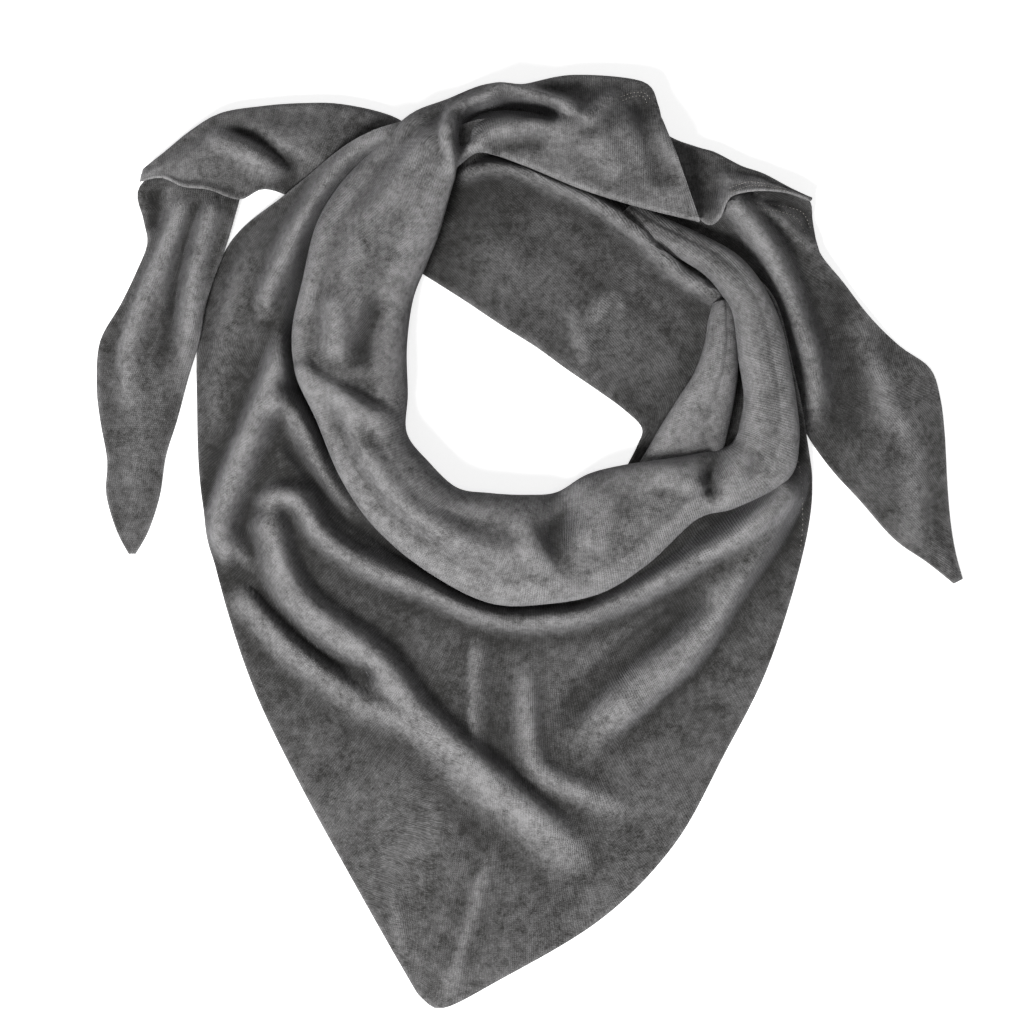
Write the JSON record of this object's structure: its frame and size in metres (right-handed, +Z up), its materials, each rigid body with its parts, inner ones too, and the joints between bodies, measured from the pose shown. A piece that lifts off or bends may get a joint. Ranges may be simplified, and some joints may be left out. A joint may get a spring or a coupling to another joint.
{
  "type": "triangle scarf",
  "caption": "Knitted triangle scarf laid flat in a ring, with a draped front point, a rolled collar and crossed ends that fold back into tails.",
  "frame": {"origin": "centre of the bounding box at the surface the scarf lies on", "axes": "+Z up from the surface, -Y towards the front point, +X towards the right-hand tail as seen from above"},
  "size_m": [0.5946, 0.6372, 0.0539],
  "materials": {
    "knit": "matte"
  },
  "bodies": {
    "root": {"scarf": "knit"}
  },
  "joints": []
}
